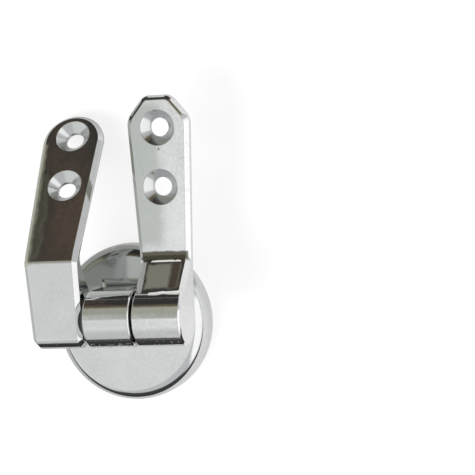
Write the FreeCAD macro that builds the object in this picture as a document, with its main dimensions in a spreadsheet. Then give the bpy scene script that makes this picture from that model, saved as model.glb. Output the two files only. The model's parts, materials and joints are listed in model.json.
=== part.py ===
# Toilet seat hinge in chrome-plated zinc: a round foot with one knuckle, a seat arm and a lid arm on one pin.
# Frame: X along the hinge pin, +Z up from the toilet pan, origin in the middle of the foot's underside.
import FreeCAD, Part
import os
import Sketcher

doc = FreeCAD.newDocument("ToiletSeatHinge")

# Driving dimensions in millimetres and degrees
DIMENSIONS = [
    ("foot_radius", 26.0, "round foot, outside"),
    ("foot_rim", 3.0, "straight rim at the bottom of the foot"),
    ("foot_height", 9.2, "top of the foot above the pan"),
    ("foot_flat_radius", 22.3, "flat top of the foot"),
    ("foot_wall", 2.6, "wall of the hollow foot"),
    ("boss_radius", 7.6, "boss round the fixing bolt"),
    ("rib_width", 2.0, "ribs between boss and wall"),
    ("rib_count", 4, "number of ribs"),
    ("bolt_hole_radius", 3.4, "M8 thread, core"),
    ("bolt_hole_depth", 15.0, "blind depth of the thread"),
    ("pivot_y", 3.7, "pin axis behind the foot's middle"),
    ("pivot_z", 27.6, "pin axis above the pan"),
    ("barrel_radius", 9.2, "knuckle and hubs"),
    ("knuckle_x", 1.0, "middle of the knuckle"),
    ("knuckle_half", 7.8, "half the knuckle's length"),
    ("knuckle_edge", 0.5, "broken edge of the knuckle's ends"),
    ("post_fillet", 2.2, "fillet between post and foot"),
    ("pin_radius", 3.0, "hinge pin"),
    ("pin_edge", 0.5, "chamfer at the pin's ends"),
    ("pin_left", 24.6, "pin end in the seat arm"),
    ("pin_right", 20.6, "pin end in the lid arm"),
    ("plate_thickness", 4.0, "screw plates of both arms"),
    ("plate_end_half", 10.45, "half width of the plates near the tip"),
    ("bevel", 1.5, "bevel along the arms' edges"),
    ("hub_edge", 0.7, "bevel at the ends of the lid hub"),
    ("screw_hole_radius", 3.0, "screw holes"),
    ("countersink_radius", 5.75, "mouth of the countersinks"),
    ("countersink_angle", 90.0, "countersink, whole angle"),
    ("hole_pitch", 19.0, "between the two screw holes"),
    ("lid_x", 17.55, "middle of the lid arm"),
    ("lid_hub_half", 8.15, "half the lid hub's length"),
    ("lid_web_root", 66.0, "where the web leaves the hub, from the top"),
    ("lid_web_slope", 41.5, "slope of the web behind the hub"),
    ("lid_web_fillet", 3.2, "hollow between web and plate"),
    ("lid_far_hole", 60.4, "far screw hole from the pin"),
    ("lid_tip", 70.7, "tip of the plate from the pin"),
    ("lid_tip_flat_half", 4.3, "half the flat at the tip"),
    ("lid_tip_corner", 7.5, "length of the corner cut at the tip"),
    ("lid_tip_round", 3.5, "rounding between the tip and its corner cuts"),
    ("lid_shoulder_round", 6.0, "rounding between the corner cuts and the sides"),
    ("seat_x", -16.0, "middle of the seat arm"),
    ("seat_hub_half", 8.1, "half the seat hub's length"),
    ("seat_rest_angle", 34.5, "plate's slope below level as it lies"),
    ("seat_fold_y", 11.4, "fold between leg and plate, along the plate"),
    ("seat_drop", 17.7, "plate's face from the pin"),
    ("seat_leg_slope", 37.5, "leg's face against the plate"),
    ("seat_back_slope", 70.0, "leg's back against the plate"),
    ("seat_fold_radius", 2.2, "rounding of the fold"),
    ("seat_hollow_radius", 2.0, "hollow behind the fold"),
    ("seat_brow_radius", 3.2, "rounding between leg and hub"),
    ("seat_straight", 15.0, "where the plate's taper starts, from the pin"),
    ("seat_outer_half", 10.05, "outer half of the width there"),
    ("seat_heel_half", 8.5, "outer half of the width behind the hub"),
    ("seat_far_hole", 59.0, "far screw hole from the pin, along the plate"),
    ("seat_tip_centre", 57.2, "middle of the rounded tip"),
    ("bush_bore_radius", 3.05, "running fit on the pin"),
    ("bush_radius", 4.4, "bushes, outside"),
    ("bush_flange_radius", 7.0, "thrust flange of the bushes"),
    ("lid_flange", 0.35, "thickness of the lid bush's flange"),
    ("lid_bush_length", 12.0, "lid bush in its blind hole"),
    ("lid_bore_depth", 12.4, "blind hole in the lid hub"),
    ("seat_flange", 0.8, "thickness of the seat bush's flange"),
    ("seat_bush_length", 16.8, "seat bush in its through hole"),
    ("trim_margin", 6.0, "clear space round an outline that trims a blank"),
]

sheet = doc.addObject("Spreadsheet::Sheet", "dim")
for row, (alias, amount, note) in enumerate(DIMENSIONS, start=1):
    sheet.set(f"A{row}", alias)
    sheet.set(f"B{row}", str(amount))
    sheet.set(f"C{row}", note)
    sheet.setAlias(f"B{row}", alias)
doc.recompute()

H_AXIS = -1
V_AXIS = -2
ORIGIN = (-1, 1)
NEAR_ZERO = 1e-6
WHOLE_TURN = 360
FRONT_RISE = 0.3  # least upward lean of a face on an arm's front


def amount(formula):
    """Number that a formula of sheet names gives."""
    return float(sheet.evalExpression(formula))


def new_body(label):
    body = doc.addObject("PartDesign::Body", label)
    body.Label = label
    return body


def origin_feature(body, role):
    return next(f for f in body.Origin.OriginFeatures if f.Role == role)


def new_sketch(body, role, name, offset=None):
    """Sketch on one of the body's own planes, moved along its normal by a formula."""
    sketch = body.newObject("Sketcher::SketchObject", name)
    sketch.AttachmentSupport = (origin_feature(body, role), "")
    sketch.MapMode = "FlatFace"
    if offset:
        sketch.setExpression("AttachmentOffset.Base.z", offset)
    return sketch


def bind(sketch, kind, geometry, point, formula, label):
    """Hold one coordinate of a point at a formula's value."""
    value = amount(formula)
    if abs(value) < NEAR_ZERO:
        axis = V_AXIS if kind == "DistanceX" else H_AXIS
        sketch.addConstraint(Sketcher.Constraint("PointOnObject", geometry, point, axis))
        return
    index = sketch.addConstraint(Sketcher.Constraint(kind, *ORIGIN, geometry, point, value))
    sketch.renameConstraint(index, label)
    sketch.setExpression("Constraints." + label, formula)


def trace(sketch, corners, arcs=None, name="p"):
    """Closed outline. A corner is (x formula, y formula, bound coordinates); arcs[i] is (centre x, centre y,
    radius), turning anticlockwise from corner i to the next one."""
    arcs = arcs or {}
    places = [FreeCAD.Vector(amount(x), amount(y), 0) for x, y, _ in corners]
    count = len(corners)
    ids = []
    for i, start in enumerate(places):
        end = places[(i + 1) % count]
        if i in arcs:
            cx, cy, radius = arcs[i]
            centre = FreeCAD.Vector(amount(cx), amount(cy), 0)
            circle = Part.Circle(centre, FreeCAD.Vector(0, 0, 1), amount(radius))
            curve = Part.ArcOfCircle(circle, circle.parameter(start), circle.parameter(end))
        else:
            curve = Part.LineSegment(start, end)
        ids.append(sketch.addGeometry(curve, False))
    for i in range(count):
        sketch.addConstraint(Sketcher.Constraint("Coincident", ids[i], 2, ids[(i + 1) % count], 1))
    for i, (x, y, bound) in enumerate(corners):
        if "x" in bound:
            bind(sketch, "DistanceX", ids[i], 1, x, f"{name}x{i}")
        if "y" in bound:
            bind(sketch, "DistanceY", ids[i], 1, y, f"{name}y{i}")
    for i, (cx, cy, radius) in arcs.items():
        bind(sketch, "DistanceX", ids[i], 3, cx, f"{name}cx{i}")
        bind(sketch, "DistanceY", ids[i], 3, cy, f"{name}cy{i}")
        index = sketch.addConstraint(Sketcher.Constraint("Radius", ids[i], amount(radius)))
        sketch.renameConstraint(index, f"{name}r{i}")
        sketch.setExpression(f"Constraints.{name}r{i}", radius)


def ring(sketch, x, y, radius, name="c"):
    """Circle at a place given by formulas."""
    centre = FreeCAD.Vector(amount(x), amount(y), 0)
    index = sketch.addGeometry(Part.Circle(centre, FreeCAD.Vector(0, 0, 1), amount(radius)), False)
    bind(sketch, "DistanceX", index, 3, x, name + "x")
    bind(sketch, "DistanceY", index, 3, y, name + "y")
    held = sketch.addConstraint(Sketcher.Constraint("Radius", index, amount(radius)))
    sketch.renameConstraint(held, name + "r")
    sketch.setExpression(f"Constraints.{name}r", radius)


def pad(body, sketch, name, length, symmetric=False):
    feature = body.newObject("PartDesign::Pad", name)
    feature.Profile = sketch
    feature.SideType = "Symmetric" if symmetric else "One side"
    feature.setExpression("Length", length)
    doc.recompute()
    return feature


def pocket(body, sketch, name, length=None, reverse=False):
    """Cut a sketch out of the body: right through both ways, or to a depth one way."""
    before = body.Shape.Volume
    feature = body.newObject("PartDesign::Pocket", name)
    feature.Profile = sketch
    feature.Reversed = reverse
    if length:
        feature.setExpression("Length", length)
    else:
        feature.Type = "ThroughAll"
        feature.SideType = "Symmetric"
    doc.recompute()
    if body.Shape.Volume > before - NEAR_ZERO:
        raise RuntimeError(f"{name} cuts nothing")
    return feature


def turned(body, sketch, name, axis, kind="Revolution"):
    feature = body.newObject("PartDesign::" + kind, name)
    feature.Profile = sketch
    feature.ReferenceAxis = (sketch, [axis])
    feature.Angle = WHOLE_TURN
    doc.recompute()
    return feature


def edges_where(feature, test):
    """Names of a feature's edges that pass a test."""
    return [f"Edge{i}" for i, edge in enumerate(feature.Shape.Edges, start=1) if test(edge)]


def edges_across(body, y, z):
    """Edges along X at one place of an arm's side profile."""
    return edges_where(body.Tip, lambda e: abs(e.CenterOfMass.y - y) < NEAR_ZERO
                       and abs(e.CenterOfMass.z - z) < NEAR_ZERO and abs(e.CenterOfMass.x) < NEAR_ZERO)


def upright_edges(body, y):
    """Upright edges of an arm's outline at one distance from the pin."""
    return edges_where(body.Tip, lambda e: all(abs(v.Y - y) < NEAR_ZERO for v in e.Vertexes)
                       and abs(e.Vertexes[0].X - e.Vertexes[-1].X) < NEAR_ZERO)


def soften(body, kind, name, names, size):
    """Chamfer or fillet of named edges on the body's tip."""
    if not names:
        raise RuntimeError(f"{name} finds no edges")
    feature = body.newObject("PartDesign::" + kind, name)
    feature.Base = (body.Tip if body.Tip != feature else feature.BaseFeature, names)
    feature.setExpression("Size" if kind == "Chamfer" else "Radius", size)
    doc.recompute()
    return feature


def make_base():
    """Hollow round foot, post and middle knuckle in one casting."""
    body = new_body("base")

    shape = new_sketch(body, "XZ_Plane", "foot_section")
    rise = "(dim.foot_height - dim.foot_rim)"
    inset = "(dim.foot_radius - dim.foot_flat_radius)"
    shoulder = f"(({inset}^2 + {rise}^2) / (2 * {inset}))"
    trace(shape, [
        ("0", "0", "xy"),
        ("dim.foot_radius", "0", "xy"),
        ("dim.foot_radius", "dim.foot_rim", "y"),
        ("dim.foot_flat_radius", "dim.foot_height", "y"),
        ("0", "dim.foot_height", "xy"),
    ], {2: (f"dim.foot_radius - {shoulder}", "dim.foot_rim", shoulder)})
    turned(body, shape, "foot", "V_Axis")

    hollow = new_sketch(body, "XZ_Plane", "foot_hollow_section")
    roof = "dim.foot_height - dim.foot_wall"
    trace(hollow, [
        ("dim.boss_radius", "0", "xy"),
        ("dim.foot_radius - dim.foot_wall", "0", "xy"),
        ("dim.foot_flat_radius - dim.foot_wall / 2", roof, "xy"),
        ("dim.boss_radius", roof, "xy"),
    ])
    before = body.Shape.Volume
    turned(body, hollow, "foot_hollow", "V_Axis", "Groove")
    if body.Shape.Volume > before - NEAR_ZERO:
        raise RuntimeError("the foot is not hollow")

    rib_plan = new_sketch(body, "XY_Plane", "rib_plan", "dim.foot_rim")
    rib_out = "dim.foot_radius - dim.foot_wall"
    trace(rib_plan, [
        ("dim.boss_radius / 2", "-dim.rib_width / 2", "xy"),
        (rib_out, "-dim.rib_width / 2", "xy"),
        (rib_out, "dim.rib_width / 2", "xy"),
        ("dim.boss_radius / 2", "dim.rib_width / 2", "xy"),
    ])
    rib = pad(body, rib_plan, "rib", f"{roof} - dim.foot_rim / 2")
    ribs = body.newObject("PartDesign::PolarPattern", "ribs")
    ribs.Originals = [rib]
    ribs.Axis = (origin_feature(body, "Z_Axis"), [""])
    ribs.Angle = WHOLE_TURN
    ribs.setExpression("Occurrences", "dim.rib_count")
    body.Tip = ribs
    doc.recompute()

    post = new_sketch(body, "YZ_Plane", "knuckle_section", "dim.knuckle_x")
    root = "dim.foot_height - dim.foot_wall / 2"
    front = "dim.pivot_y - dim.barrel_radius"
    back = "dim.pivot_y + dim.barrel_radius"
    trace(post, [
        (front, root, "xy"),
        (back, root, "xy"),
        (back, "dim.pivot_z", "y"),
        (front, "dim.pivot_z", "y"),
    ], {2: ("dim.pivot_y", "dim.pivot_z", "dim.barrel_radius")})
    knuckle = pad(body, post, "knuckle", "2 * dim.knuckle_half", symmetric=True)

    top = amount("dim.foot_height")
    around = edges_where(knuckle, lambda e: all(abs(v.Z - top) < NEAR_ZERO for v in e.Vertexes)
                         and e.Curve.TypeId == "Part::GeomLine")
    soften(body, "Fillet", "post_fillet", around, "dim.post_fillet")

    half = amount("dim.knuckle_half")
    middle = amount("dim.knuckle_x")
    radius = amount("dim.barrel_radius")
    ends = edges_where(body.Tip, lambda e: abs(abs(e.CenterOfMass.x - middle) - half) < NEAR_ZERO
                       and abs(getattr(e.Curve, "Radius", 0) - radius) < NEAR_ZERO)
    soften(body, "Chamfer", "knuckle_edges", ends, "dim.knuckle_edge")

    bore = new_sketch(body, "YZ_Plane", "pin_bore_plan")
    ring(bore, "dim.pivot_y", "dim.pivot_z", "dim.pin_radius")
    pocket(body, bore, "pin_bore")

    bolt = new_sketch(body, "XY_Plane", "bolt_hole_plan")
    ring(bolt, "0", "0", "dim.bolt_hole_radius")
    pocket(body, bolt, "bolt_hole", "dim.bolt_hole_depth", reverse=True)
    return body


def is_wall(face):
    """True for an upright face of an arm's outline."""
    kind = face.Surface.TypeId
    if kind == "Part::GeomPlane":
        return abs(face.Surface.Axis.z) < NEAR_ZERO
    return kind == "Part::GeomCylinder" and abs(face.Surface.Axis.z) > 1 - NEAR_ZERO


def is_front(face):
    """True for a face on the countersunk side of an arm: web, leg, plate and the hollow between."""
    u_low, u_high, v_low, v_high = face.ParameterRange
    normal = face.normalAt((u_low + u_high) / 2, (v_low + v_high) / 2)
    return not is_wall(face) and normal.z > FRONT_RISE


def is_hub_end(edge):
    """True for the round edge at the end of a hub."""
    return abs(getattr(edge.Curve, "Radius", 0) - amount("dim.barrel_radius")) < NEAR_ZERO


def bevel_front(body, name, size, test):
    """Bevel where the arm's front meets its outline, on the edges that pass a test."""
    shape = body.Tip.Shape
    walls = [face for face in shape.Faces if is_wall(face)]
    fronts = [face for face in shape.Faces if is_front(face)]

    def on_rim(edge):
        return (any(edge.isSame(other) for face in walls for other in face.Edges)
                and any(edge.isSame(other) for face in fronts for other in face.Edges))

    soften(body, "Chamfer", name, edges_where(body.Tip, lambda edge: test(edge) and on_rim(edge)), size)


def screw_holes(body, far_hole, face):
    """Two countersunk holes in an arm's plate, cut from its face."""
    plan = new_sketch(body, "XY_Plane", body.Label + "_hole_plan", face)
    ring(plan, "0", far_hole, "dim.screw_hole_radius", "far")
    ring(plan, "0", f"{far_hole} - dim.hole_pitch", "dim.screw_hole_radius", "near")
    doc.recompute()
    before = body.Shape.Volume
    holes = body.newObject("PartDesign::Hole", body.Label + "_holes")
    holes.Profile = plan
    holes.DepthType = "ThroughAll"
    holes.HoleCutType = "Countersink"
    holes.HoleCutCustomValues = True
    holes.setExpression("Diameter", "2 * dim.screw_hole_radius")
    holes.setExpression("HoleCutDiameter", "2 * dim.countersink_radius")
    holes.setExpression("HoleCutCountersinkAngle", "dim.countersink_angle")
    doc.recompute()
    if body.Shape.Volume > before - NEAR_ZERO:
        raise RuntimeError(f"{holes.Name} cut nothing")


def trim(body, corners, arcs, tip):
    """Cut away what lies outside an arm's plan outline."""
    plan = new_sketch(body, "XY_Plane", body.Label + "_plan")
    wide = "dim.plate_end_half + dim.trim_margin"
    back = "-dim.barrel_radius - dim.trim_margin"
    front = f"{tip} + dim.trim_margin"
    trace(plan, [
        (f"-({wide})", back, "xy"), (wide, back, "xy"), (wide, front, "xy"), (f"-({wide})", front, "xy"),
    ], name="outer")
    trace(plan, corners, arcs, name="inner")
    pocket(body, plan, body.Label + "_trim")


def make_lid_arm():
    """Round hub, sloping web and flat plate with cut corners at its tip."""
    body = new_body("lid_arm")
    profile = new_sketch(body, "YZ_Plane", "lid_profile")
    face = "dim.plate_thickness - dim.barrel_radius"
    end = "dim.lid_tip + dim.trim_margin / 2"
    root_y = "dim.barrel_radius * sin(dim.lid_web_root)"
    root_z = "dim.barrel_radius * cos(dim.lid_web_root)"
    foot = f"{root_y} + ({root_z} - ({face})) / tan(dim.lid_web_slope)"
    trace(profile, [
        ("0", "-dim.barrel_radius", "x"),
        (end, "-dim.barrel_radius", "xy"),
        (end, face, "xy"),
        (foot, face, "xy"),
        (root_y, root_z, "x"),
    ], {4: ("0", "0", "dim.barrel_radius")})
    pad(body, profile, "lid_blank", "2 * (dim.plate_end_half + dim.trim_margin / 2)", symmetric=True)

    hub = "dim.lid_hub_half"
    wide = "dim.plate_end_half"
    hollow = edges_across(body, amount(foot), amount(face))
    soften(body, "Fillet", "lid_web_hollow", hollow, "dim.lid_web_fillet")

    start = "dim.barrel_radius"
    shoulder = "dim.lid_tip - dim.lid_tip_corner"
    back = "-dim.barrel_radius - dim.trim_margin / 2"
    trim(body, [
        (hub, back, "xy"), (hub, start, "xy"), (wide, shoulder, "xy"),
        ("dim.lid_tip_flat_half", "dim.lid_tip", "xy"), ("-dim.lid_tip_flat_half", "dim.lid_tip", "xy"),
        (f"-{wide}", shoulder, "xy"), (f"-{hub}", start, "xy"), (f"-{hub}", back, "xy"),
    ], {}, "dim.lid_tip")

    tips = upright_edges(body, amount("dim.lid_tip"))
    soften(body, "Fillet", "lid_tip_rounding", tips, "dim.lid_tip_round")
    shoulders = upright_edges(body, amount(shoulder))
    soften(body, "Fillet", "lid_shoulder_rounding", shoulders, "dim.lid_shoulder_round")
    bevel_front(body, "lid_bevel", "dim.bevel", lambda edge: not is_hub_end(edge))
    bevel_front(body, "lid_hub_edges", "dim.hub_edge", is_hub_end)
    screw_holes(body, "dim.lid_far_hole", face)
    bore = new_sketch(body, "YZ_Plane", "lid_bore_plan", f"-{hub}")
    ring(bore, "0", "0", "dim.bush_radius")
    pocket(body, bore, "lid_bore", "dim.lid_bore_depth", reverse=True)
    body.setExpression("Placement.Base.x", "dim.lid_x")
    body.setExpression("Placement.Base.y", "dim.pivot_y")
    body.setExpression("Placement.Base.z", "dim.pivot_z")
    return body


def make_seat_arm():
    """Round hub, thick leg and folded plate with a round tip."""
    body = new_body("seat_arm")
    profile = new_sketch(body, "YZ_Plane", "seat_profile")
    radius = "dim.barrel_radius"
    under = "dim.seat_drop - dim.plate_thickness"
    end = "dim.seat_tip_centre + dim.plate_end_half + dim.trim_margin / 2"
    slope = "dim.seat_leg_slope"
    back = "dim.seat_back_slope"
    flat = f"(dim.seat_drop * cos({slope}) - dim.seat_fold_y * sin({slope}))"
    chord = f"sqrt({radius}^2 - {flat}^2)"
    knee = f"{radius} * sin({back}) + ({under} + {radius} * cos({back})) / tan({back})"
    brow_y = f"-{flat} * sin({slope}) - {chord} * cos({slope})"
    brow_z = f"{flat} * cos({slope}) - {chord} * sin({slope})"
    trace(profile, [
        (f"{radius} * sin({back})", f"-{radius} * cos({back})", "y"),
        (knee, under, "xy"),
        (end, under, "xy"),
        (end, "dim.seat_drop", "xy"),
        ("dim.seat_fold_y", "dim.seat_drop", "xy"),
        (brow_y, brow_z, "y"),
    ], {5: ("0", "0", radius)})
    pad(body, profile, "seat_blank", "2 * (dim.plate_end_half + dim.trim_margin / 2)", symmetric=True)
    fold = edges_across(body, amount("dim.seat_fold_y"), amount("dim.seat_drop"))
    soften(body, "Fillet", "seat_fold", fold, "dim.seat_fold_radius")
    hollow = edges_across(body, amount(knee), amount(under))
    soften(body, "Fillet", "seat_hollow", hollow, "dim.seat_hollow_radius")
    brow = edges_across(body, amount(brow_y), amount(brow_z))
    soften(body, "Fillet", "seat_brow", brow, "dim.seat_brow_radius")

    hub = "dim.seat_hub_half"
    wide = "dim.plate_end_half"
    back_y = f"-{radius} - dim.trim_margin / 2"
    trim(body, [
        (hub, back_y, "xy"), (hub, "dim.seat_straight", "xy"), (wide, "dim.seat_tip_centre", "y"),
        (f"-{wide}", "dim.seat_tip_centre", "y"), ("-dim.seat_outer_half", "dim.seat_straight", "xy"),
        ("-dim.seat_heel_half", back_y, "xy"),
    ], {2: ("0", "dim.seat_tip_centre", wide)}, "dim.seat_tip_centre + dim.plate_end_half")

    bevel_front(body, "seat_bevel", "dim.bevel", lambda edge: True)
    screw_holes(body, "dim.seat_far_hole", "dim.seat_drop")
    bore = new_sketch(body, "YZ_Plane", "seat_bore_plan")
    ring(bore, "0", "0", "dim.bush_radius")
    pocket(body, bore, "seat_bore")
    body.Placement.Rotation = FreeCAD.Rotation(FreeCAD.Vector(-1, 0, 0), amount("dim.seat_rest_angle"))
    body.setExpression("Placement.Rotation.Angle", "dim.seat_rest_angle")
    body.setExpression("Placement.Base.x", "dim.seat_x")
    body.setExpression("Placement.Base.y", "dim.pivot_y")
    body.setExpression("Placement.Base.z", "dim.pivot_z")
    return body


def make_pin():
    """Plain steel pin with chamfered ends."""
    body = new_body("hinge_pin")
    half = new_sketch(body, "XY_Plane", "pin_section")
    radius = "dim.pin_radius"
    edge = "dim.pin_edge"
    trace(half, [
        ("-dim.pin_left", "0", "xy"), ("dim.pin_right", "0", "xy"),
        ("dim.pin_right", f"{radius} - {edge}", "xy"), (f"dim.pin_right - {edge}", radius, "xy"),
        (f"{edge} - dim.pin_left", radius, "xy"), ("-dim.pin_left", f"{radius} - {edge}", "xy"),
    ])
    turned(body, half, "pin", "H_Axis")
    body.setExpression("Placement.Base.y", "dim.pivot_y")
    body.setExpression("Placement.Base.z", "dim.pivot_z")
    return body


def make_bush(label, inner_face, direction, flange, length):
    """Flanged plastic bush; its flange stands off the hub's inner face, towards the knuckle."""
    body = new_body(label)
    half = new_sketch(body, "XY_Plane", label + "_section")
    away = f"({inner_face} - {direction} * {flange})"
    inside = f"({inner_face} + {direction} * {length})"
    trace(half, [
        (away, "dim.bush_bore_radius", "xy"), (inside, "dim.bush_bore_radius", "xy"),
        (inside, "dim.bush_radius", "xy"), (inner_face, "dim.bush_radius", "xy"),
        (inner_face, "dim.bush_flange_radius", "xy"), (away, "dim.bush_flange_radius", "xy"),
    ])
    turned(body, half, label + "_turned", "H_Axis")
    body.setExpression("Placement.Base.y", "dim.pivot_y")
    body.setExpression("Placement.Base.z", "dim.pivot_z")
    return body


seat_inner_face = "(dim.seat_x + dim.seat_hub_half)"
lid_inner_face = "(dim.lid_x - dim.lid_hub_half)"
nodes = [
    make_base(),
    make_seat_arm(),
    make_lid_arm(),
    make_pin(),
    make_bush("seat_arm_bush", seat_inner_face, "-1", "dim.seat_flange", "dim.seat_bush_length"),
    make_bush("lid_arm_bush", lid_inner_face, "1", "dim.lid_flange", "dim.lid_bush_length"),
]
doc.recompute()

for item in doc.Objects:
    if "Invalid" in item.State or "Error" in item.State:
        raise RuntimeError(f"{item.Label} failed: {item.State}")
for node in nodes:
    if node.Shape.isNull() or not node.Shape.isValid() or len(node.Shape.Solids) != 1:
        raise RuntimeError(f"{node.Label} is not one valid solid")

os.makedirs("parts", exist_ok=True)
for node in nodes:
    node.Shape.exportStep(f"parts/{node.Label}.step")
    print(node.Label, "volume mm3", round(node.Shape.Volume, 1))
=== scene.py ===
# %% [markdown]
# # A chrome toilet seat hinge
# The hinge is three polished zinc castings on one pin: a round foot that is bolted to the pan, a cranked
# arm that carries the seat and a flat arm that carries the lid. The solids come packed from CAD, so this
# lesson dresses them: it softens their edges, gives them chrome, and builds the small studio that chrome
# needs, because a mirror shows nothing of its own. No separate piece repeats here, so no Geometry Nodes are
# needed.

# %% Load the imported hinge
import json
import math

import bmesh
import bpy
from mathutils import Matrix, Vector


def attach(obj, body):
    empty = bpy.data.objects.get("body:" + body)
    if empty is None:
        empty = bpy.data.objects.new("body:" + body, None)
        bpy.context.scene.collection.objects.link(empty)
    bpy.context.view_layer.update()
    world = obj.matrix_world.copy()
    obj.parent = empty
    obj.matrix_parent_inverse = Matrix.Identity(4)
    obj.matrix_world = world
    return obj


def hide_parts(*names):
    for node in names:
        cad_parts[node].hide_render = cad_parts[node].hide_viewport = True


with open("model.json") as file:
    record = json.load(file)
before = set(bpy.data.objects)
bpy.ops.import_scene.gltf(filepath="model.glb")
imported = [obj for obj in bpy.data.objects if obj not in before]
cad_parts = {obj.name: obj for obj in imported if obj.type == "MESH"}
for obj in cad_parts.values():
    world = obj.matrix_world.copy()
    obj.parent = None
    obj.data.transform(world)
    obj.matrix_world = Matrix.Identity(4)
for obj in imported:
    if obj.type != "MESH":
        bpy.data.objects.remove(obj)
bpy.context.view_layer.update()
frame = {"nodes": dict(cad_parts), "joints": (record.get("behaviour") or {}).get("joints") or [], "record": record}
scene = bpy.context.scene
scene.view_settings.view_transform = "Standard"
MM = 0.001
print("nodes:", sorted(frame["nodes"]))

# %% [markdown]
# ## The camera
# The photograph was taken from almost straight above, a little from the right, with the hinge lying on its
# foot. A camera can be placed by eye, but the foot's round flat and the pin's direction fix it: two angles,
# a roll, and the pixel where the middle of the foot's underside falls.

# %% Directions of the picture
VIEW_TO_RIGHT = math.radians(15.4)
VIEW_TO_BACK = math.radians(4.0)
VIEW_ROLL = math.radians(3.2)

toward_camera = Vector((math.sin(VIEW_TO_RIGHT) * math.cos(VIEW_TO_BACK), math.sin(VIEW_TO_BACK),
                        math.cos(VIEW_TO_RIGHT) * math.cos(VIEW_TO_BACK)))
level_right = Vector((math.cos(VIEW_TO_RIGHT), 0, -math.sin(VIEW_TO_RIGHT)))
level_up = toward_camera.cross(level_right)
picture_right = level_right * math.cos(VIEW_ROLL) - level_up * math.sin(VIEW_ROLL)
picture_up = level_right * math.sin(VIEW_ROLL) + level_up * math.cos(VIEW_ROLL)
print("towards the camera:", [round(part, 3) for part in toward_camera])

# %% Camera at the photograph's angle
IMAGE_PIXELS = 475
SENSOR_MM = 36.0
VIEW_DISTANCE = 700 * MM
PIXELS_PER_METRE = 3000.0
FOOT_PIXEL_X = 138.0
FOOT_PIXEL_Y = 320.0

camera_data = bpy.data.cameras.new("photo_camera")
camera_data.sensor_width = SENSOR_MM
camera_data.lens = SENSOR_MM * PIXELS_PER_METRE * VIEW_DISTANCE / IMAGE_PIXELS
camera = bpy.data.objects.new("photo_camera", camera_data)
scene.collection.objects.link(camera)
aim_right = (IMAGE_PIXELS / 2 - FOOT_PIXEL_X) / PIXELS_PER_METRE
aim_up = (FOOT_PIXEL_Y - IMAGE_PIXELS / 2) / PIXELS_PER_METRE
camera_place = picture_right * aim_right + picture_up * aim_up + toward_camera * VIEW_DISTANCE
turned = Matrix((picture_right, picture_up, toward_camera)).transposed().to_4x4()
camera.matrix_world = Matrix.Translation(camera_place) @ turned
scene.camera = camera
print("lens", round(camera_data.lens, 1), "mm")

# %% [markdown]
# ## Helpers for node trees
# Every material and the world are small node graphs. They could be drawn by hand in the editor; in a
# script, one helper adds a node and fills its inputs and another joins two sockets, so that each graph
# below reads as a list of what feeds what.

# %% Node helpers
def add_node(tree, kind, inputs=None, **settings):
    """New node with its settings and the values of its input sockets."""
    node = tree.nodes.new(kind)
    for name, value in settings.items():
        setattr(node, name, value)
    for socket, value in (inputs or {}).items():
        node.inputs[socket].default_value = value
    return node


def join(tree, source, target):
    tree.links.new(source, target)


def feed(tree, term, target):
    """Joins a socket to an input, or sets the input where the term is a plain value."""
    if isinstance(term, bpy.types.NodeSocket):
        join(tree, term, target)
    else:
        target.default_value = term


def calc(tree, operation, *terms):
    """Math node on sockets and numbers."""
    node = add_node(tree, "ShaderNodeMath", operation=operation)
    for place, term in enumerate(terms):
        feed(tree, term, node.inputs[place])
    return node.outputs[0]


# %% [markdown]
# ## Helpers for masks
# A mask is a number from 0 to 1 that says where one tone gives way to another. Soft steps multiplied
# together bound a patch on a wall or a box round a worn place. A painted mask would do the same, but a
# picture can't be turned or resized with the part, and these can.

# %% Mask helpers
def ease(tree, value, low, high):
    """Soft step of a value, from 0 at low to 1 at high."""
    step = add_node(tree, "ShaderNodeMapRange", interpolation_type="SMOOTHSTEP")
    step.inputs["From Min"].default_value = min(low, high)
    step.inputs["From Max"].default_value = max(low, high)
    step.inputs["To Min"].default_value = float(low > high)
    step.inputs["To Max"].default_value = float(low < high)
    join(tree, value, step.inputs["Value"])
    return step.outputs["Result"]


def carried(tree, value, low, high, first=0.0, last=1.0):
    """Value carried in a straight line from the span low to high to the span first to last."""
    spans = {"From Min": low, "From Max": high, "To Min": first, "To Max": last}
    node = add_node(tree, "ShaderNodeMapRange", spans)
    join(tree, value, node.inputs["Value"])
    return node.outputs["Result"]


def product(tree, first, *others):
    """Product of several masks."""
    for other in others:
        first = calc(tree, "MULTIPLY", first, other)
    return first


def laid_over(tree, mask, under, color):
    """Colour with another colour laid over it where a mask is 1."""
    mix = add_node(tree, "ShaderNodeMix", {7: color}, data_type="RGBA")
    join(tree, mask, mix.inputs[0])
    feed(tree, under, mix.inputs[6])
    return mix.outputs[2]


# %% [markdown]
# ## The studio
# A chrome part is only as good as what it mirrors. Here the light comes from all round, white on the side
# where the hinge's foot points, grey overhead and brown to black behind the arms, as in a room lit from one
# side. A photograph of a room could wrap the scene, but a ramp along Y with a few patches on it can be
# tuned tone by tone. The camera itself sees plain white.

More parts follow.
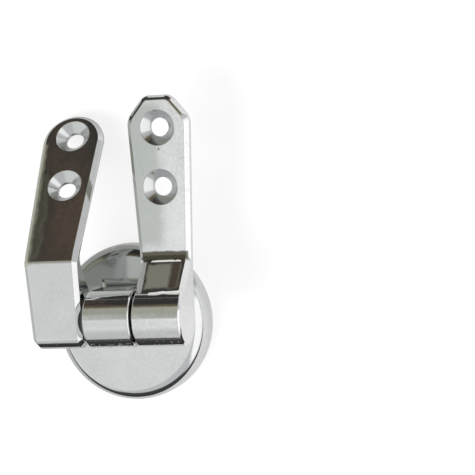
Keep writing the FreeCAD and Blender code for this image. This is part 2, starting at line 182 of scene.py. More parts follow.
# %% Tones of the room
ROOM_ALONG_Y = [
    (0.00, (0.72, 0.73, 0.74)),
    (0.10, (0.68, 0.70, 0.69)),
    (0.24, (0.82, 0.84, 0.82)),
    (0.36, (0.78, 0.80, 0.78)),
    (0.47, (0.83, 0.85, 0.84)),
    (0.50, (0.80, 0.82, 0.80)),
    (0.54, (0.48, 0.50, 0.45)),
    (0.58, (0.41, 0.42, 0.37)),
    (0.70, (0.37, 0.38, 0.32)),
    (0.82, (0.40, 0.40, 0.34)),
    (0.862, (0.34, 0.33, 0.26)),
    (0.878, (0.15, 0.125, 0.085)),
    (0.905, (0.115, 0.092, 0.066)),
    (0.922, (0.044, 0.041, 0.038)),
    (0.95, (0.036, 0.036, 0.035)),
    (1.00, (0.055, 0.048, 0.045)),
]
WHITE = (1.0, 1.0, 1.0, 1.0)
BELOW_HORIZON = (0.80, 0.80, 0.79, 1.0)
RIGHT_GREY = (0.61, 0.61, 0.62, 1.0)
WINDOW_WHITE = (1.2, 1.2, 1.19, 1.0)
FRONT_DARK = (0.03, 0.034, 0.036, 1.0)
LEFT_SHADE = (0.70, 0.72, 0.70, 1.0)
STREAK_BROWN = (0.098, 0.073, 0.053, 1.0)
PANEL_BROWN = (0.135, 0.112, 0.072, 1.0)
print("tones along the room:", len(ROOM_ALONG_Y))

# %% Directions in the room
STREAK_SCALE = 9.0
LEAN_TO_BACK = -0.75

world = bpy.data.worlds.new("studio_room")
scene.world = world
world.use_nodes = True
room = world.node_tree
room.nodes.clear()
direction = add_node(room, "ShaderNodeTexCoord").outputs["Generated"]
parts = add_node(room, "ShaderNodeSeparateXYZ")
join(room, direction, parts.inputs[0])
to_right, to_back, to_top = parts.outputs
streaks = add_node(room, "ShaderNodeTexNoise", {"Scale": STREAK_SCALE, "Detail": 1.0})
join(room, direction, streaks.inputs["Vector"])
to_right_front = calc(room, "MULTIPLY_ADD", to_back, LEAN_TO_BACK, to_right)

room_color = add_node(room, "ShaderNodeValToRGB")
stops = room_color.color_ramp.elements
while len(stops) < len(ROOM_ALONG_Y):
    stops.new(1.0)
for stop, (stop_place, stop_color) in zip(stops, ROOM_ALONG_Y):
    stop.position = stop_place
    stop.color = (*stop_color, 1.0)
join(room, carried(room, to_back, -1.0, 1.0), room_color.inputs["Fac"])
print("world:", world.name)

# %% [markdown]
# ## Patches on the room's walls
# Each patch gives one reflection of the photograph: a brown streak in the seat arm's plate, a pale shade on
# its hub, a brown panel in edges that lean to the back, a dark wall low in front that draws the front edges
# of hubs and foot, and a window that lights the bevels and rims on the right. Lamps could give the bright
# ones but not the dark ones. A patch is bounded by the direction's parts, so it stays on its wall whichever
# way the hinge is seen.

# %% World light
# A bound names a direction, the value where the patch hasn't begun and the value where it is full.
PATCHES = {
    "seat plate streak": (STREAK_BROWN, [("streaks", 0.40, 0.56), ("back", 0.80, 0.86),
                                         ("right", -0.356, -0.345), ("right", -0.322, -0.334)]),
    "left shade": (LEFT_SHADE, [("right", -0.28, -0.40), ("top", 0.80, 0.92)]),
    "brown panel": (PANEL_BROWN, [("right", -0.285, -0.262), ("back", 0.73, 0.76), ("back", 0.92, 0.86)]),
    "right wall": (RIGHT_GREY, [("right front", 0.05, 0.35)]),
    "front wall": (FRONT_DARK, [("back", -0.80, -0.92), ("top", 0.18, 0.04)]),
    "window": (WINDOW_WHITE, [("right", 0.58, 0.70), ("top", 0.03, 0.10), ("top", 0.74, 0.66),
                              ("back", 0.42, 0.25)]),
    "below the horizon": (BELOW_HORIZON, [("top", 0.0, -0.03)]),
}
directions = {"right": to_right, "back": to_back, "top": to_top, "right front": to_right_front,
              "streaks": streaks.outputs["Fac"]}

walls = room_color.outputs["Color"]
for patch_color, patch_bounds in PATCHES.values():
    steps = [ease(room, directions[name], low, high) for name, low, high in patch_bounds]
    walls = laid_over(room, product(room, *steps), walls, patch_color)
camera_ray = add_node(room, "ShaderNodeLightPath").outputs["Is Camera Ray"]
walls = laid_over(room, camera_ray, walls, WHITE)
background = add_node(room, "ShaderNodeBackground")
join(room, walls, background.inputs["Color"])
world_end = add_node(room, "ShaderNodeOutputWorld")
join(room, background.outputs[0], world_end.inputs["Surface"])
print("patches on the walls:", list(PATCHES))

# %% [markdown]
# ## The floor
# The hinge lies on plain white. The floor keeps a soft shadow, so part of it is a matt surface, and the
# rest glows, so that it looks white without more light on the hinge. What the chrome mirrors of it is
# darker at the left, as the walls of both arms show.

# %% Finish of the floor
FLOOR_WHITE = (0.93, 0.93, 0.93, 1.0)
FLOOR_GLOW_SEEN = 0.80
FLOOR_GLOW_MIRRORED = 0.85
MIRRORED_LEFT = (0.42, 0.43, 0.41, 1.0)
MIRRORED_RIGHT = (0.80, 0.80, 0.80, 1.0)
MIRRORED_LEFT_X = -0.03
MIRRORED_RIGHT_X = 0.05


def floor_material():
    """Matt white that glows for the camera and, with a tone from left to right, for the chrome."""
    material = bpy.data.materials.new("pale_floor")
    material.use_nodes = True
    tree = material.node_tree
    tree.nodes.clear()
    across = add_node(tree, "ShaderNodeSeparateXYZ")
    join(tree, add_node(tree, "ShaderNodeTexCoord").outputs["Object"], across.inputs[0])
    rightness = ease(tree, across.outputs["X"], MIRRORED_LEFT_X, MIRRORED_RIGHT_X)
    ray = add_node(tree, "ShaderNodeLightPath").outputs
    tone = laid_over(tree, rightness, MIRRORED_LEFT, MIRRORED_RIGHT)
    tone = laid_over(tree, ray["Is Camera Ray"], tone, WHITE)
    mirrored = calc(tree, "MAXIMUM", ray["Is Glossy Ray"], ray["Is Transmission Ray"])
    mirrored_share = calc(tree, "MULTIPLY", mirrored, FLOOR_GLOW_MIRRORED)
    share = calc(tree, "MULTIPLY_ADD", ray["Is Camera Ray"], FLOOR_GLOW_SEEN, mirrored_share)
    matt = add_node(tree, "ShaderNodeBsdfDiffuse", {"Color": FLOOR_WHITE})
    glow = add_node(tree, "ShaderNodeEmission", {"Strength": 1.0})
    join(tree, tone, glow.inputs["Color"])
    mixed = add_node(tree, "ShaderNodeMixShader")
    join(tree, share, mixed.inputs[0])
    join(tree, matt.outputs[0], mixed.inputs[1])
    join(tree, glow.outputs[0], mixed.inputs[2])
    end = add_node(tree, "ShaderNodeOutputMaterial")
    join(tree, mixed.outputs[0], end.inputs["Surface"])
    return material


# %% Floor
FLOOR_HALF = 1.5
FLOOR_DROP = 0.05 * MM


def flat_sheet(name, low, high, height):
    """Level rectangle between two corners."""
    mesh = bpy.data.meshes.new(name)
    corners = [(low[0], low[1]), (high[0], low[1]), (high[0], high[1]), (low[0], high[1])]
    mesh.from_pydata([(x, y, height) for x, y in corners], [], [(0, 1, 2, 3)])
    sheet = bpy.data.objects.new(name, mesh)
    scene.collection.objects.link(sheet)
    return sheet


floor = flat_sheet("floor", (-FLOOR_HALF, -FLOOR_HALF), (FLOOR_HALF, FLOOR_HALF), -FLOOR_DROP)
floor.data.materials.append(floor_material())
print("floor", 2 * FLOOR_HALF, "m wide")

# %% [markdown]
# ## Dark cards
# Photographers lay black card beside chrome to give its curves a dark edge. Three cards lie on the floor,
# one in front of the foot and two behind the arms. The room could be dark there instead, but a card close
# to the part gives each curve an edge of its own width. Only reflections see the cards.

# %% Dark cards for the reflections
CARD_HEIGHT = 0.4 * MM
CARD_BLACK = (0.012, 0.012, 0.013, 1.0)
CARD_ROUGHNESS = 0.9
CARDS = {
    "front_card": ((-0.60, -1.45), (0.60, -0.036)),
    "back_card": ((-0.60, 0.085), (-0.008, 1.45)),
    "tip_card": ((-0.008, 0.135), (0.07, 1.45)),
}

card_finish = bpy.data.materials.new("black_card")
card_finish.use_nodes = True
card_shader = card_finish.node_tree.nodes["Principled BSDF"]
card_shader.inputs["Base Color"].default_value = CARD_BLACK
card_shader.inputs["Roughness"].default_value = CARD_ROUGHNESS
for card_name, (card_low, card_high) in CARDS.items():
    card = flat_sheet(card_name, card_low, card_high, CARD_HEIGHT)
    card.data.materials.append(card_finish)
    card.visible_camera = False
    card.visible_diffuse = False
    card.visible_shadow = False
    card.visible_transmission = False
print("cards:", list(CARDS))

# %% [markdown]
# ## The lamps
# The room already lights the chrome. Two soft lamps only give the floor its faint shadow and light the matt
# marks of painted light and the nylon. Square lamps would show in the chrome as bright squares, so
# reflections don't see them.

# %% Soft lamps
LAMP_AIM = (0, 0.02, 0.02)
LAMPS = {
    "window_lamp": {"place": (-0.55, -0.35, 0.8), "size": 0.5, "watts": 9.0},
    "side_lamp": {"place": (0.8, 0.1, 0.6), "size": 0.4, "watts": 4.0},
}

for lamp_name, lamp_values in LAMPS.items():
    lamp_data = bpy.data.lights.new(lamp_name, "AREA")
    lamp_data.size = lamp_values["size"]
    lamp_data.energy = lamp_values["watts"]
    lamp = bpy.data.objects.new(lamp_name, lamp_data)
    lamp.location = lamp_values["place"]
    lamp.rotation_euler = (Vector(LAMP_AIM) - lamp.location).to_track_quat("-Z", "Y").to_euler()
    lamp.visible_glossy = False
    scene.collection.objects.link(lamp)
print("lamps:", list(LAMPS))

# %% [markdown]
# ## Ripples, pits and cast skin
# Plated zinc is a mirror with the casting's faults in it: long ripples from the polishing wheel, a few pin
# holes, and a finer skin on the barrels, where the wheel doesn't reach so well. They could be sculpted, but
# they are thinner than a hair, so they go to the bump, which bends the reflections. They are one node
# group, so that each casting can have its own amount.

# %% Helpers for node groups
def vector_calc(tree, operation, *terms):
    """Vector math node on sockets and vectors."""
    node = add_node(tree, "ShaderNodeVectorMath", operation=operation)
    for place, term in enumerate(terms):
        feed(tree, term, node.inputs[place])
    return node.outputs["Value" if operation == "LENGTH" else "Vector"]


def new_group(name, inputs, *outputs):
    """Shader node group with float inputs and float outputs."""
    group = bpy.data.node_groups.new(name, "ShaderNodeTree")
    for label, value in inputs.items():
        socket = group.interface.new_socket(label, in_out="INPUT", socket_type="NodeSocketFloat")
        socket.default_value = value
    for label in outputs:
        group.interface.new_socket(label, in_out="OUTPUT", socket_type="NodeSocketFloat")
    return group, group.nodes.new("NodeGroupInput"), group.nodes.new("NodeGroupOutput")


def noise(group, place, scale, **inputs):
    """Noise texture at a place, with its scale from a socket."""
    node = add_node(group, "ShaderNodeTexNoise", inputs)
    join(group, place, node.inputs["Vector"])
    join(group, scale, node.inputs["Scale"])
    return node.outputs


# %% Node group for the ripples
PIN_Y, PIN_Z = frame["joints"][0]["pos_m"][1:]
BARREL_REACH = 9.6 * MM
BARREL_FADE = 1.0 * MM
PIT_CORE = 0.04
PIT_EDGE = 0.13
PIT_RARITY = 0.975
PIT_HEIGHT = -0.1
RIPPLE = {"Wide Scale": 30.0, "Fine Scale": 140.0, "Fine Share": 0.14, "Pit Scale": 420.0,
          "Skin Scale": 520.0, "Skin Share": 0.11}


def ripple_group():
    """Height of the polishing's ripples, of small pits and of the cast skin left on the barrels."""
    group, given, out = new_group("casting_ripple", RIPPLE, "Height", "Pits")
    sizes = given.outputs
    place = add_node(group, "ShaderNodeTexCoord").outputs["Object"]
    from_pin = vector_calc(group, "SUBTRACT", place, (0.0, PIN_Y, PIN_Z))
    across_pin = vector_calc(group, "MULTIPLY", from_pin, (0.0, 1.0, 1.0))
    reach = vector_calc(group, "LENGTH", across_pin)
    barrel = ease(group, reach, BARREL_REACH + BARREL_FADE, BARREL_REACH)
    skin = noise(group, place, sizes["Skin Scale"], Detail=1.0, Roughness=0.5)["Fac"]
    wide = noise(group, place, sizes["Wide Scale"], Detail=0.0)["Fac"]
    fine = noise(group, place, sizes["Fine Scale"], Detail=1.0, Roughness=0.4)["Fac"]
    waves = calc(group, "MULTIPLY_ADD", fine, sizes["Fine Share"], wide)
    skinned = calc(group, "MULTIPLY_ADD", product(group, skin, barrel), sizes["Skin Share"], waves)
    cells = add_node(group, "ShaderNodeTexVoronoi", {"Randomness": 1.0})
    join(group, place, cells.inputs["Vector"])
    join(group, sizes["Pit Scale"], cells.inputs["Scale"])
    near = carried(group, cells.outputs["Distance"], PIT_CORE, PIT_EDGE, 1.0, 0.0)
    chosen = add_node(group, "ShaderNodeSeparateColor")
    join(group, cells.outputs["Color"], chosen.inputs["Color"])
    pits = product(group, near, calc(group, "GREATER_THAN", chosen.outputs["Red"], PIT_RARITY))
    join(group, calc(group, "MULTIPLY_ADD", pits, PIT_HEIGHT, skinned), out.inputs["Height"])
    join(group, pits, out.inputs["Pits"])
    return group


casting_ripple = ripple_group()
print("group:", casting_ripple.name)

# %% [markdown]
# ## Haze
# Fingers leave a thin haze on chrome, in clouds with finer smears in them. It only changes how sharp the
# mirror is and dims it a little. It could be a picture of smears; noise at two sizes does the same and
# never repeats. It is one number, the share of haze, which the materials turn into roughness and colour.

# %% Node group for the haze
HAZE = {"Cloud Scale": 60.0, "Smear Scale": 900.0}
HAZE_LEAST = 0.14
HAZE_MOST = 0.42


def haze_group():
    """Share of haze from handling, cloudy at two sizes."""
    group, given, out = new_group("handling_haze", HAZE, "Haze")
    place = add_node(group, "ShaderNodeTexCoord").outputs["Object"]
    clouds = noise(group, place, given.outputs["Cloud Scale"], Detail=4.0, Roughness=0.6)["Fac"]
    smears = noise(group, place, given.outputs["Smear Scale"], Detail=2.0, Roughness=0.7)["Fac"]
    haze = carried(group, product(group, clouds, smears), HAZE_LEAST, HAZE_MOST)
    join(group, haze, out.inputs["Haze"])
    return group


handling_haze = haze_group()
print("group:", handling_haze.name)

# %% [markdown]
# ## Dull places, an olive tone and painted light
# Some places on the castings are dull: the middle of the lid arm's web and the outer margin of the seat
# plate, which also has an olive tone, and the lid plate has one small pit. Others carry painted light:
# painted reflections on the web, brown at its right and pale grey at its left margin, a painted glint on
# the crease beside the lid arm's hub, and painted shade in the hollow where the web meets the plate, on the
# inner half of the lid plate and on the foot behind the post. Each place is a box in the casting's own
# coordinates, with an edge that wavers. Painting them by hand would need a picture; a box with noise stays
# with the casting and has no edge of its own.

# %% Mask of a marked place
WAVER_SCALE = 260.0
NOISE_MIDDLE = (0.5, 0.5, 0.5)


def box_mask(group, place, low, high, soft):
    """Product of soft steps that is 1 inside a box given in mm."""
    sides = add_node(group, "ShaderNodeSeparateXYZ")
    join(group, place, sides.inputs[0])
    steps = []
    for axis, bottom, top in zip("XYZ", low, high):
        steps.append(ease(group, sides.outputs[axis], bottom * MM - soft * MM, bottom * MM + soft * MM))
        steps.append(ease(group, sides.outputs[axis], top * MM + soft * MM, top * MM - soft * MM))
    return product(group, *steps)


def dull_and_painted_light_group(name, low, high, soft, waver):
    """Mask of one place on a casting with a wavering edge, in mm."""
    group, given, out = new_group(name, {"Waver Scale": WAVER_SCALE}, "Mask")
    place = add_node(group, "ShaderNodeTexCoord").outputs["Object"]
    unrest = noise(group, place, given.outputs["Waver Scale"], Detail=2.0)["Color"]
    centred = vector_calc(group, "SUBTRACT", unrest, NOISE_MIDDLE)
    shift = vector_calc(group, "MULTIPLY_ADD", centred, [waver * MM] * 3, place)
    join(group, box_mask(group, shift, low, high, soft), out.inputs["Mask"])
    return group


# %% Dull places and places of painted light
# Low corner, high corner, softness of the edge and its waver.
DULL_AND_PAINTED_LIGHT_PLACES_MM = {
    "dull_web": ((12.4, 13.1, 22.3), (23.6, 20.6, 31.0), 0.7, 1.6),
    # Painted reflection, brown, on the right of the web.
    "painted_web_reflection": ((20.2, 13.0, 22.3), (23.4, 22.0, 31.0), 0.8, 1.6),
    # Painted reflection, pale grey, on the web's left margin.
    "painted_web_margin": ((8.0, 12.0, 22.3), (11.8, 21.0, 32.0), 0.4, 0.6),
    # Painted glint on the crease beside the hub.
    "painted_crease_glint": ((14.5, 11.5, 29.6), (25.0, 12.3, 32.6), 0.15, 1.0),
    # Painted shade in the hollow where the web meets the plate.
    "painted_hollow_shade": ((8.5, 21.7, 21.8), (26.0, 24.4, 25.0), 0.35, 1.2),
    # Painted shade on the inner half of the lid plate.
    "painted_shade_side": ((4.0, 26.0, 20.0), (18.0, 72.0, 24.5), 2.4, 3.0),
    "plate_pit": ((17.45, 56.9, 22.0), (17.95, 57.4, 23.0), 0.1, 0.2),
    "olive_margin": ((-26.5, 24.0, 0.0), (-20.9, 50.0, 40.0), 2.2, 4.4),
    "dull_margin": ((-28.0, 22.0, 0.0), (-23.9, 60.0, 40.0), 0.8, 1.6),
    # Painted shade on the foot behind the post.
    "painted_crevice_shade": ((-24.0, 11.5, 5.0), (24.0, 30.0, 12.0), 1.2, 5.0),
}

marks = {name: dull_and_painted_light_group(name, *values) for name, values in DULL_AND_PAINTED_LIGHT_PLACES_MM.items()}
print("worn places:", len(marks))

# %% [markdown]
# ## Painted glints
# Along the front of the barrels and on the ridge at the end of the web, white specks smaller than a
# millimetre are painted glints: dull white spots where the mirror would catch small points of light.
# Dents in the mesh could catch such glints, but at that size only their colour and dullness show. Noise
# that is cut off near its peaks gives such specks, and the same kind of box keeps them in their place.

# %% Masks of painted glints
SPECK_LOW = 0.97
SPECK_HIGH = 1.03
# Low corner, high corner and softness of the edge in mm, then the scale and the share of the specks.
# Painted glints on the ridge at the end of the web and along the front of the barrels.
PAINTED_GLINT_PLACES = {
    "painted_ridge_glint": ((9.5, 21.1, 21.8), (24.2, 21.6, 25.5), 0.15, 330.0, 0.50),
    "lid_painted_glints": ((11.0, -5.6, 28.5), (25.6, -3.0, 34.5), 0.4, 900.0, 0.36),
    "foot_painted_glints": ((-6.4, -5.6, 28.5), (8.4, -3.6, 34.5), 0.4, 900.0, 0.45),
    "seat_painted_glints": ((-24.0, -5.6, 28.5), (-8.5, -3.4, 34.5), 0.4, 900.0, 0.35),
}


def painted_glint_group(name, low, high, soft, scale, share):
    """Mask of painted glints, small specks scattered over one place on a casting, in mm."""
    group, given, out = new_group(name, {"Speck Scale": scale, "Speck Share": share}, "Mask")
    place = add_node(group, "ShaderNodeTexCoord").outputs["Object"]
    grain = noise(group, place, given.outputs["Speck Scale"], Detail=2.0, Roughness=0.6)["Fac"]
    raised = calc(group, "ADD", grain, given.outputs["Speck Share"])
    specks = ease(group, raised, SPECK_LOW, SPECK_HIGH)
    join(group, product(group, box_mask(group, place, low, high, soft), specks), out.inputs["Mask"])
    return group


for glint_name, glint_values in PAINTED_GLINT_PLACES.items():
    marks[glint_name] = painted_glint_group(glint_name, *glint_values)
print("nicked places:", len(PAINTED_GLINT_PLACES))

# %% [markdown]
# ## Countersinks
# The countersinks are cut by a drill, so they are less bright than the polished plates. A box as above would
# reach beyond the round cone. The record of the part says where each screw goes, so the mask measures the
# distance from the screw's line instead, and stays right if the holes move.

# %% Masks of the countersinks
COUNTERSINK_REACH = 5.6 * MM
mounts = {mount["name"]: mount for mount in frame["record"]["mounts"]}
arm_screws = {}
for arm in ("seat", "lid"):
    screws = [mounts[arm + "_far_screw"], mounts[arm + "_near_screw"]]
    arm_screws[arm] = [(Vector(screw["pos_m"]), Vector(screw["axis"])) for screw in screws]


def countersink_group(name, screw_lines):
    """Mask of the cones round the screw holes of one arm."""
    group, given, out = new_group(name, {"Reach": COUNTERSINK_REACH}, "Mask")
    place = add_node(group, "ShaderNodeTexCoord").outputs["Object"]
    cones = []
    for start, axis in screw_lines:
        away = vector_calc(group, "SUBTRACT", place, start)
        reach = vector_calc(group, "LENGTH", vector_calc(group, "CROSS_PRODUCT", away, axis))
        cones.append(calc(group, "LESS_THAN", reach, given.outputs["Reach"]))
    join(group, calc(group, "MAXIMUM", *cones), out.inputs["Mask"])
    return group


for arm, screw_lines in arm_screws.items():
    marks[arm + "_countersinks"] = countersink_group(arm + "_countersinks", screw_lines)
print("masks in all:", len(marks))

# %% [markdown]
# ## Chrome
# Chrome is metal with hardly any roughness. Each mark could be a material of its own, but that would need
# seams in the mesh. Instead the haze, the pits and then the marks are laid over the clean finish, one after
# the other, each with its colour and its roughness. Some marks are painted light. Where a painted
# reflection or glint is a matt grey or white that the lamps light, it isn't a mirror, so only there is the
# metal switched off.

# %% Finishes of the chrome
CHROME_CLEAN = (0.80, 0.81, 0.82, 1.0)
# Lighter chrome for the lid arm than for the other castings: painted light.
PAINTED_LIGHTER_CHROME = (0.88, 0.885, 0.89, 1.0)
CHROME_HAZY = (0.73, 0.735, 0.73, 1.0)
CHROME_PIT = (0.16, 0.15, 0.14, 1.0)
CHROME_DULL = (0.86, 0.86, 0.78, 1.0)
# Painted shade on the inner half of the lid plate.
PAINTED_SHADE_GREY = (0.60, 0.62, 0.61, 1.0)
# Painted shade in the hollow where the lid arm's web meets its plate.
PAINTED_HOLLOW_BROWN = (0.15, 0.135, 0.11, 1.0)
# Painted shade on the foot behind the post.
PAINTED_CREVICE_GREY = (0.46, 0.475, 0.46, 1.0)
# Olive tone on the seat plate's outer margin.
MARGIN_OLIVE = (0.25, 0.25, 0.20, 1.0)
# Painted reflection, brown, on the right of the lid arm's web.
PAINTED_REFLECTION_BROWN = (0.30, 0.25, 0.20, 1.0)
# Painted reflection, pale grey, on the left margin of the lid arm's web.
PAINTED_REFLECTION_PALE = (0.34, 0.35, 0.35, 1.0)
# Painted glints, dull white specks and lines where the mirror would catch light.
PAINTED_GLINT_WHITE = (0.92, 0.92, 0.91, 1.0)
COUNTERSINK_GREY = (0.70, 0.71, 0.72, 1.0)
ROUGHNESS_CLEAN = 0.035
ROUGHNESS_HAZY = 0.11
ROUGHNESS_CUT = 0.16
ROUGHNESS_DULL = 0.55
METAL = True
# Marks of painted light that are matt, so that the lamps light them.
MATT_PAINTED_LIGHT = False
# Colour and roughness of each mark, and whether it is metal.
FOOT_MARKS = {
    "painted_crevice_shade": (PAINTED_CREVICE_GREY, ROUGHNESS_HAZY, METAL),
    "foot_painted_glints": (PAINTED_GLINT_WHITE, ROUGHNESS_DULL, METAL),
}
SEAT_MARKS = {
    "olive_margin": (MARGIN_OLIVE, ROUGHNESS_DULL, METAL),
    "dull_margin": (CHROME_DULL, ROUGHNESS_DULL, METAL),
    "seat_countersinks": (COUNTERSINK_GREY, ROUGHNESS_CUT, METAL),
    "seat_painted_glints": (PAINTED_GLINT_WHITE, ROUGHNESS_DULL, METAL),
}
LID_MARKS = {
    "painted_shade_side": (PAINTED_SHADE_GREY, ROUGHNESS_HAZY, METAL),
    "dull_web": (CHROME_DULL, ROUGHNESS_DULL, METAL),
    "painted_web_reflection": (PAINTED_REFLECTION_BROWN, ROUGHNESS_DULL, METAL),
    "painted_web_margin": (PAINTED_REFLECTION_PALE, ROUGHNESS_DULL, MATT_PAINTED_LIGHT),
    "painted_hollow_shade": (PAINTED_HOLLOW_BROWN, ROUGHNESS_HAZY, METAL),
    "painted_crease_glint": (PAINTED_GLINT_WHITE, ROUGHNESS_DULL, MATT_PAINTED_LIGHT),
    "painted_ridge_glint": (PAINTED_GLINT_WHITE, ROUGHNESS_DULL, MATT_PAINTED_LIGHT),
    "lid_countersinks": (COUNTERSINK_GREY, ROUGHNESS_CUT, METAL),
    "plate_pit": (CHROME_PIT, ROUGHNESS_DULL, METAL),
    "lid_painted_glints": (PAINTED_GLINT_WHITE, ROUGHNESS_DULL, METAL),
}
print("marks on foot, seat arm and lid arm:", len(FOOT_MARKS), len(SEAT_MARKS), len(LID_MARKS))

# %% Marks laid over the chrome
def clear_of(tree, masks):
    """Value that is 1 where every mask is 0."""
    return product(tree, *[calc(tree, "SUBTRACT", 1.0, mask) for mask in masks])


def blended(tree, mask, under, value):
    """Value socket with another value in its place where a mask is 1."""
    mix = add_node(tree, "ShaderNodeMix", {3: value})
    join(tree, mask, mix.inputs[0])
    join(tree, under, mix.inputs[2])
    return mix.outputs[0]


# %% Chrome of the three castings
def chrome_material(name, clean, casting_marks, wide_scale, ripple_depth):
    """Chrome with its ripple, its haze and the marks of one casting."""
    material = bpy.data.materials.new(name)
    material.use_nodes = True
    tree = material.node_tree
    shader = tree.nodes["Principled BSDF"]
    shader.inputs["Metallic"].default_value = 1.0
    ripple = add_node(tree, "ShaderNodeGroup", node_tree=casting_ripple)
    ripple.inputs["Wide Scale"].default_value = wide_scale
    haze = add_node(tree, "ShaderNodeGroup", node_tree=handling_haze).outputs["Haze"]
    color = laid_over(tree, haze, clean, CHROME_HAZY)
    color = laid_over(tree, ripple.outputs["Pits"], color, CHROME_PIT)
    roughness = carried(tree, haze, 0.0, 1.0, ROUGHNESS_CLEAN, ROUGHNESS_HAZY)
    painted_matt_masks = []
    for mark_name, (mark_color, mark_roughness, is_metal) in casting_marks.items():
        mask = add_node(tree, "ShaderNodeGroup", node_tree=marks[mark_name]).outputs["Mask"]
        color = laid_over(tree, mask, color, mark_color)
        roughness = blended(tree, mask, roughness, mark_roughness)
        if not is_metal:
            painted_matt_masks.append(mask)
    join(tree, color, shader.inputs["Base Color"])
    join(tree, roughness, shader.inputs["Roughness"])
    if painted_matt_masks:
        join(tree, clear_of(tree, painted_matt_masks), shader.inputs["Metallic"])
    bump = add_node(tree, "ShaderNodeBump", {"Strength": 1.0, "Distance": ripple_depth})
    join(tree, ripple.outputs["Height"], bump.inputs["Height"])
    join(tree, bump.outputs["Normal"], shader.inputs["Normal"])
    return material


foot_chrome = chrome_material("foot_chrome", CHROME_CLEAN, FOOT_MARKS,
                              wide_scale=22.0, ripple_depth=0.12 * MM)
seat_chrome = chrome_material("seat_arm_chrome", CHROME_CLEAN, SEAT_MARKS,
                              wide_scale=34.0, ripple_depth=0.14 * MM)
lid_chrome = chrome_material("lid_arm_chrome", PAINTED_LIGHTER_CHROME, LID_MARKS,
                             wide_scale=30.0, ripple_depth=0.16 * MM)
print("chrome:", foot_chrome.name, seat_chrome.name, lid_chrome.name)

# %% [markdown]
# ## Which corners are rounded
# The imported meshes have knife-sharp corners, which real plating never has. Rounding them all by the same
# small radius lets each corner catch a thin line of light. Only the outer rim round an arm's tip is left to
# smooth shading, because there the bevel and the wall run into each other on the real casting.

# %% Choice of corners
CORNER_ANGLE = math.radians(24)
HUB_REACH = 11.0 * MM
WALL_LEAN = 0.1
SIDE_LEAN = 0.9
plate_axes = {arm + "_arm": screw_lines[0][1] for arm, screw_lines in arm_screws.items()}


def is_corner(edge):
    """True where two faces meet at more than the facets of a round face do."""
    return len(edge.link_faces) == 2 and edge.calc_face_angle() > CORNER_ANGLE


def is_rim(edge, node_name):
    """True where the bevel of an arm's tip meets the upright wall there."""
    if node_name not in plate_axes:
        return False
    axis = plate_axes[node_name]
    wall, bevel = sorted(edge.link_faces, key=lambda face: abs(face.normal.dot(axis)))
    at_tip = abs(wall.normal.x) < SIDE_LEAN
    clear = min(math.hypot(vert.co.y - PIN_Y, vert.co.z - PIN_Z) for vert in edge.verts) > HUB_REACH
    upright = abs(wall.normal.dot(axis)) < WALL_LEAN
    return at_tip and clear and upright and WALL_LEAN < abs(bevel.normal.dot(axis)) < 1 - WALL_LEAN


# %% [markdown]
# ## Exact shading
# A mirror shows every small error of its normals. On a flat plate with holes, and on a countersink's cone
# made of long thin triangles, averaged normals give streaks. Finer meshes would only make the streaks
# finer, so the normals of flats and cones are worked out from the shape itself.

# %% Normals of flats and cones
FLAT_LEAN = 0.9995
CONE_LEAN_LEAST = 0.3
CONE_LEAN_MOST = 0.98
CONE_INNER = 3.25 * MM
CONE_OUTER = 5.55 * MM


def outward(point, start, axis):
    """Part of a point's distance from a start point that is square to an axis."""
    away = point - start
    return away - axis * away.dot(axis)


def true_normals(mesh, node_name):
    """Exact normals on the flats and the countersinks' cones, the weighted ones elsewhere."""
    up = plate_axes.get(node_name, Vector((0, 0, 1)))
    screw_starts = [start for start, _ in arm_screws.get(node_name.removesuffix("_arm"), [])]
    normals = [corner.vector.copy() for corner in mesh.corner_normals]
    for face in mesh.polygons:
        lean = face.normal.dot(up)
        facing = up * math.copysign(1, lean)
        cones = [start for start in screw_starts
                 if CONE_INNER < outward(face.center, start, up).length < CONE_OUTER]
        for corner, vertex in zip(face.loop_indices, face.vertices):
            if abs(lean) > FLAT_LEAN:
                normals[corner] = facing
            elif cones and CONE_LEAN_LEAST < abs(lean) < CONE_LEAN_MOST:
                inward = -outward(mesh.vertices[vertex].co, cones[0], up).normalized()
                normals[corner] = (facing + inward).normalized()
    mesh.normals_split_custom_set(normals)


# %% [markdown]
# ## The castings
# Rebuilding the castings by hand would only risk moving them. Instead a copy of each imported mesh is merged
# into whole faces, its corners are rounded by a bevel that follows the weights chosen above, and the result
# is kept as a plain mesh. It stays exactly where the solid is and stands in for it.

# %% Merged copies of the castings
MERGE_GAP = 0.002 * MM
FLAT_ANGLE = math.radians(0.6)
MOST_CORNERS = 4


def merged_copy(node_name):
    """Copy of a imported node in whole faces, with a weight on each corner that is to be rounded."""
    shape = bmesh.new()
    shape.from_mesh(frame["nodes"][node_name].data)
    bmesh.ops.remove_doubles(shape, verts=shape.verts, dist=MERGE_GAP)
    bmesh.ops.dissolve_limit(shape, angle_limit=FLAT_ANGLE, verts=shape.verts, edges=shape.edges)
    weight = shape.edges.layers.float.new("bevel_weight_edge")
    for edge in shape.edges:
        edge[weight] = float(is_corner(edge) and not is_rim(edge, node_name))
    large_faces = [face for face in shape.faces if len(face.verts) > MOST_CORNERS]
    bmesh.ops.triangulate(shape, faces=large_faces, ngon_method="BEAUTY")
    for face in shape.faces:
        face.smooth = True
    mesh = bpy.data.meshes.new(node_name + "_soft")
    shape.to_mesh(mesh)
    shape.free()
    if "custom_normal" in mesh.attributes:
        mesh.attributes.remove(mesh.attributes["custom_normal"])
    return mesh


# %% Refined pieces
CORNER_ROUND = 0.18 * MM
ROUND_STEPS = 3


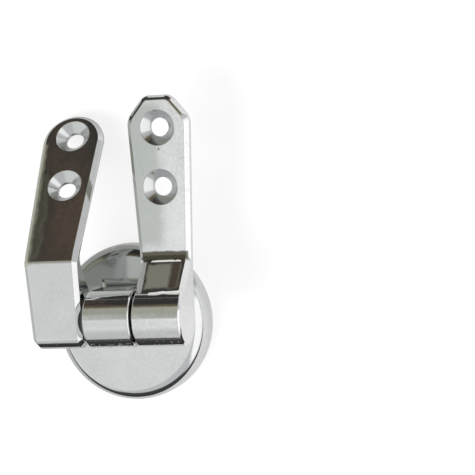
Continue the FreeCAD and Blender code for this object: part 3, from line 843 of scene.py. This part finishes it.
def refined_piece(node_name, material):
    """Merged copy of a node with rounded corners, standing in for the node."""
    mesh = merged_copy(node_name)
    mesh.materials.append(material)
    piece = bpy.data.objects.new(node_name + "_soft", mesh)
    scene.collection.objects.link(piece)
    bevel = piece.modifiers.new("rounded corners", "BEVEL")
    bevel.width = CORNER_ROUND
    bevel.segments = ROUND_STEPS
    bevel.limit_method = "WEIGHT"
    bevel.use_clamp_overlap = False
    flats = piece.modifiers.new("flat faces stay flat", "WEIGHTED_NORMAL")
    flats.keep_sharp = True
    shaped = piece.evaluated_get(bpy.context.evaluated_depsgraph_get())
    piece.data = bpy.data.meshes.new_from_object(shaped)
    piece.modifiers.clear()
    true_normals(piece.data, node_name)
    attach(piece, node_name)
    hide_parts(node_name)
    print(piece.name, len(piece.data.polygons), "faces")


refined_piece("base", foot_chrome)
refined_piece("seat_arm", seat_chrome)
refined_piece("lid_arm", lid_chrome)

# %% [markdown]
# ## Pin and bushes
# The pin is plain drawn steel and the bushes are black nylon. Hardly more than their ends show, and new
# meshes would show no more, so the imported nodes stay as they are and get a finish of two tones, mixed by
# the same haze that dulls the chrome.

# %% Finishes of pin and bushes
STEEL = (0.42, 0.42, 0.43, 1.0)
STEEL_DULL = (0.30, 0.29, 0.28, 1.0)
STEEL_ROUGHNESS = (0.25, 0.45)
NYLON = (0.028, 0.028, 0.030, 1.0)
NYLON_AGED = (0.060, 0.058, 0.056, 1.0)
NYLON_ROUGHNESS = (0.4, 0.6)


def plain_material(name, clean, dull, metal, roughness):
    """Two-tone finish whose haze also dulls it."""
    material = bpy.data.materials.new(name)
    material.use_nodes = True
    tree = material.node_tree
    shader = tree.nodes["Principled BSDF"]
    shader.inputs["Metallic"].default_value = metal
    haze = add_node(tree, "ShaderNodeGroup", node_tree=handling_haze).outputs["Haze"]
    join(tree, laid_over(tree, haze, clean, dull), shader.inputs["Base Color"])
    join(tree, carried(tree, haze, 0.0, 1.0, *roughness), shader.inputs["Roughness"])
    return material


pin_steel = plain_material("pin_steel", STEEL, STEEL_DULL, 1.0, STEEL_ROUGHNESS)
bush_nylon = plain_material("bush_nylon", NYLON, NYLON_AGED, 0.0, NYLON_ROUGHNESS)
inner_finishes = {"hinge_pin": pin_steel, "seat_arm_bush": bush_nylon, "lid_arm_bush": bush_nylon}
for inner, finish in inner_finishes.items():
    node = frame["nodes"][inner]
    node.data.materials.clear()
    node.data.materials.append(finish)
    print(inner, "in", finish.name)
